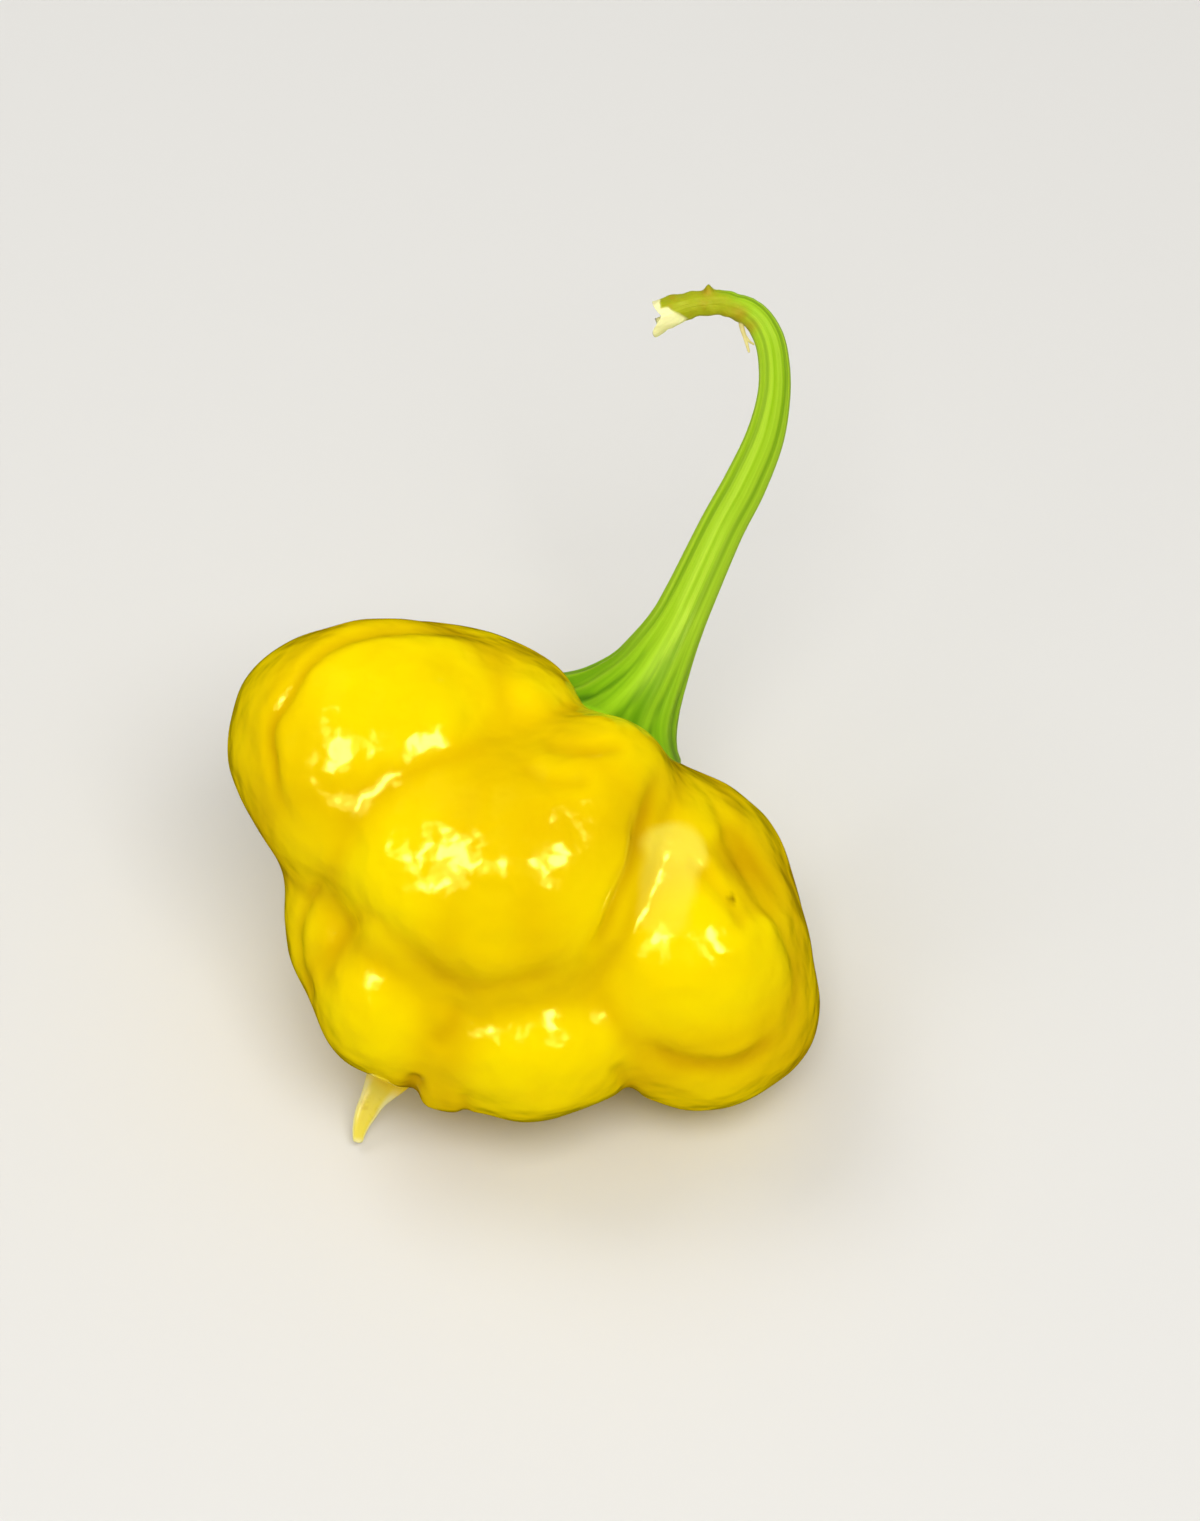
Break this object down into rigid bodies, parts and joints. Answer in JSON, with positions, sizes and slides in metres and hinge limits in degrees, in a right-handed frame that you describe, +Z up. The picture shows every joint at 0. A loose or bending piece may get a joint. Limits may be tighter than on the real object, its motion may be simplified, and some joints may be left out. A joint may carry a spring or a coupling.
{
  "type": "chilli pepper",
  "caption": "Fresh yellow lantern-shaped chilli pepper: a lobed, wrinkled pod with a short pointed tail and a long curved green stalk with its calyx.",
  "frame": {"origin": "middle of the bounding box in plan, on the surface that the pod lies on", "axes": "+Z up; the pod's largest lobes face -Y and up, the stalk rises towards +Y and leans to +X, and the tail points to -X and -Y"},
  "size_m": [0.0456, 0.052, 0.048],
  "materials": {
    "pod_skin": "waxy gloss",
    "stalk": "satin"
  },
  "bodies": {
    "root": {"pod": "pod_skin", "stalk_with_calyx": "stalk"}
  },
  "joints": []
}
